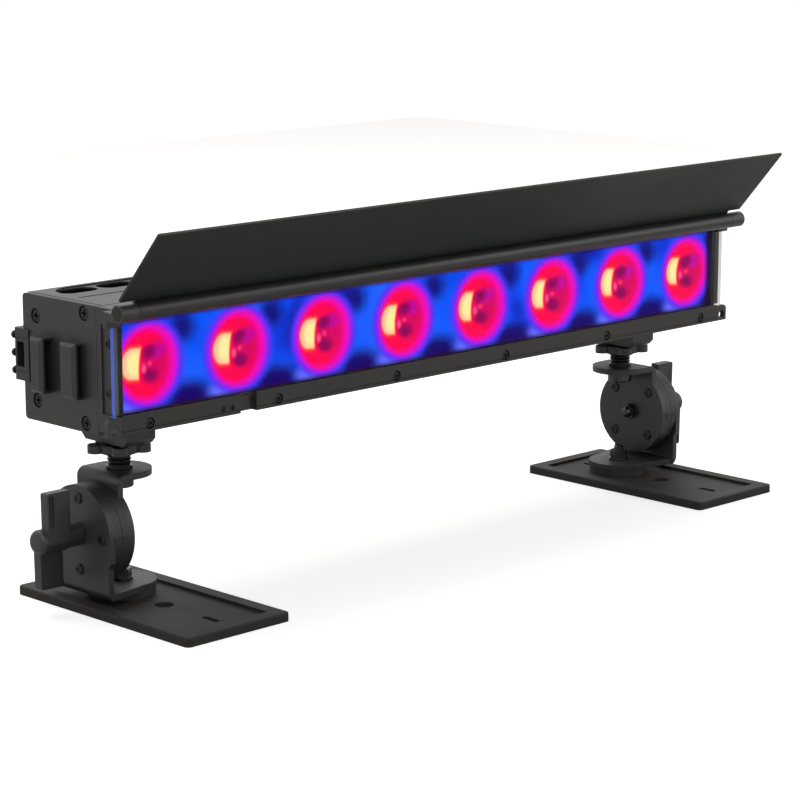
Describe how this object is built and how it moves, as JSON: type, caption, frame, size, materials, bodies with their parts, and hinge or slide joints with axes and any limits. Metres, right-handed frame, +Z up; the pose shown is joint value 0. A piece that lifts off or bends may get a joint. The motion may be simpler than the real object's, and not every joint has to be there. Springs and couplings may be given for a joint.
{
  "type": "outdoor wall washer light",
  "caption": "Long bar-shaped outdoor wall washer with coloured light cells behind a window, a hinged glare flap, and adjustable tilting feet on flat plates",
  "frame": {"origin": "on the floor, midway between the two feet and at the middle of the foot plates", "axes": "+X runs along the washer to the right as seen from the lit side, -Y is the lit front, +Z is up"},
  "size_m": [0.54, 0.148, 0.2195],
  "materials": {
    "anodised_black": "black anodised extrusion, satin",
    "coated_black": "black powder coat, fine texture",
    "flap_coating": "black coated thin sheet, satin",
    "plate_coating": "black powder coat, matt",
    "black_steel": "blackened steel, oiled",
    "black_screws": "blackened screws, half gloss",
    "disc_plastic": "black moulded plastic, satin",
    "knob_plastic": "black moulded plastic, grained",
    "black_plastic": "black moulded plastic",
    "lamp_optics": "mirror-coated moulded cups",
    "window_glass": "clear tempered sheet with black border",
    "seal_rubber": "black foam seal",
    "board_green": "circuit board with parts",
    "emitters": "light-emitting domes",
    "supply_case": "bare folded case",
    "panel_film": "black printed film"
  },
  "bodies": {
    "head": {"housing": "anodised_black", "end_plate_left": "coated_black", "end_plate_right": "coated_black", "end_plate_screws": "black_screws", "link_bracket": "black_plastic", "link_bracket_screws": "black_screws", "top_frame_bar": "anodised_black", "bottom_frame_bar_left": "anodised_black", "bottom_frame_bar_right": "anodised_black", "bottom_bar_screws": "black_screws", "front_bracket_left": "coated_black", "front_bracket_right": "coated_black", "front_bracket_screws": "black_screws", "front_glass": "window_glass", "glass_gasket": "seal_rubber", "reflector_tray": "lamp_optics", "led_board": "board_green", "led_emitters": "emitters", "power_supply": "supply_case", "driver_board": "board_green", "display_panel": "panel_film", "power_inlet": "black_plastic", "power_outlet": "black_plastic", "data_inlet": "black_plastic", "data_outlet": "black_plastic", "hinge_pins": "black_screws"},
    "flap": {"flap_tube": "anodised_black", "flap_sheet": "flap_coating"},
    "button_1": {"menu_button_1": "black_plastic"},
    "button_2": {"menu_button_2": "black_plastic"},
    "button_3": {"menu_button_3": "black_plastic"},
    "button_4": {"menu_button_4": "black_plastic"},
    "clamp_left": {"clamp_block_left": "coated_black"},
    "upper_left": {"stud_left": "black_steel", "upper_bracket_left": "coated_black", "upper_disc_left": "disc_plastic", "upper_disc_screws_left": "black_screws", "tilt_bolt_left": "black_steel"},
    "nut_left": {"lock_nut_left": "knob_plastic"},
    "lower_left": {"lower_bracket_left": "coated_black", "lower_disc_left": "disc_plastic", "lower_disc_screws_left": "black_screws", "spacer_disc_left": "disc_plastic", "swivel_bolt_left": "black_steel"},
    "knob_left": {"tilt_knob_left": "knob_plastic"},
    "plate_left": {"base_plate_left": "plate_coating"},
    "clamp_right": {"clamp_block_right": "coated_black"},
    "upper_right": {"stud_right": "black_steel", "upper_bracket_right": "coated_black", "upper_disc_right": "disc_plastic", "upper_disc_screws_right": "black_screws", "tilt_bolt_right": "black_steel"},
    "nut_right": {"lock_nut_right": "knob_plastic"},
    "lower_right": {"lower_bracket_right": "coated_black", "lower_disc_right": "disc_plastic", "lower_disc_screws_right": "black_screws", "spacer_disc_right": "disc_plastic", "swivel_bolt_right": "black_steel"},
    "knob_right": {"tilt_knob_right": "knob_plastic"},
    "plate_right": {"base_plate_right": "plate_coating"}
  },
  "joints": [
    {"name": "flap_hinge", "type": "hinge", "parent": "head", "child": "flap", "pos_m": [0, -0.0336, 0.1738], "axis": [1, 0, 0], "range_deg": [-80, 135]},
    {"name": "menu_button_1_press", "type": "slide", "parent": "head", "child": "button_1", "axis": [0, -1, 0], "range_m": [0, 0.0008], "stiffness_N_per_m": 1200, "springref_m": -0.0004},
    {"name": "menu_button_2_press", "type": "slide", "parent": "head", "child": "button_2", "axis": [0, -1, 0], "range_m": [0, 0.0008], "stiffness_N_per_m": 1200, "springref_m": -0.0004},
    {"name": "menu_button_3_press", "type": "slide", "parent": "head", "child": "button_3", "axis": [0, -1, 0], "range_m": [0, 0.0008], "stiffness_N_per_m": 1200, "springref_m": -0.0004},
    {"name": "menu_button_4_press", "type": "slide", "parent": "head", "child": "button_4", "axis": [0, -1, 0], "range_m": [0, 0.0008], "stiffness_N_per_m": 1200, "springref_m": -0.0004},
    {"name": "clamp_slide_left", "type": "slide", "parent": "head", "child": "clamp_left", "axis": [1, 0, 0], "range_m": [-0.016, 0.12]},
    {"name": "stud_swivel_left", "type": "hinge", "parent": "clamp_left", "child": "upper_left", "pos_m": [-0.211, 0.026, 0.094], "axis": [0, 0, 1], "range_deg": [-180, 180]},
    {"name": "lock_nut_turn_left", "type": "hinge", "parent": "upper_left", "child": "nut_left", "pos_m": [-0.211, 0.026, 0.086], "axis": [0, 0, 1], "range_deg": [-180, 180]},
    {"name": "tilt_left", "type": "hinge", "parent": "upper_left", "child": "lower_left", "pos_m": [-0.2316, 0.026, 0.0423], "axis": [1, 0, 0], "range_deg": [-65, 65]},
    {"name": "tilt_knob_turn_left", "type": "hinge", "parent": "upper_left", "child": "knob_left", "pos_m": [-0.251, 0.026, 0.0423], "axis": [1, 0, 0], "range_deg": [-180, 180]},
    {"name": "plate_swivel_left", "type": "hinge", "parent": "lower_left", "child": "plate_left", "pos_m": [-0.211, 0.026, 0.003], "axis": [0, 0, 1], "range_deg": [-180, 180]},
    {"name": "clamp_slide_right", "type": "slide", "parent": "head", "child": "clamp_right", "axis": [1, 0, 0], "range_m": [-0.12, 0.016]},
    {"name": "stud_swivel_right", "type": "hinge", "parent": "clamp_right", "child": "upper_right", "pos_m": [0.211, 0.026, 0.094], "axis": [0, 0, 1], "range_deg": [-180, 180]},
    {"name": "lock_nut_turn_right", "type": "hinge", "parent": "upper_right", "child": "nut_right", "pos_m": [0.211, 0.026, 0.086], "axis": [0, 0, 1], "range_deg": [-180, 180]},
    {"name": "tilt_right", "type": "hinge", "parent": "upper_right", "child": "lower_right", "pos_m": [0.2316, 0.026, 0.0423], "axis": [1, 0, 0], "range_deg": [-65, 65]},
    {"name": "tilt_knob_turn_right", "type": "hinge", "parent": "upper_right", "child": "knob_right", "pos_m": [0.251, 0.026, 0.0423], "axis": [1, 0, 0], "range_deg": [-180, 180]},
    {"name": "plate_swivel_right", "type": "hinge", "parent": "lower_right", "child": "plate_right", "pos_m": [0.211, 0.026, 0.003], "axis": [0, 0, 1], "range_deg": [-180, 180]}
  ]
}
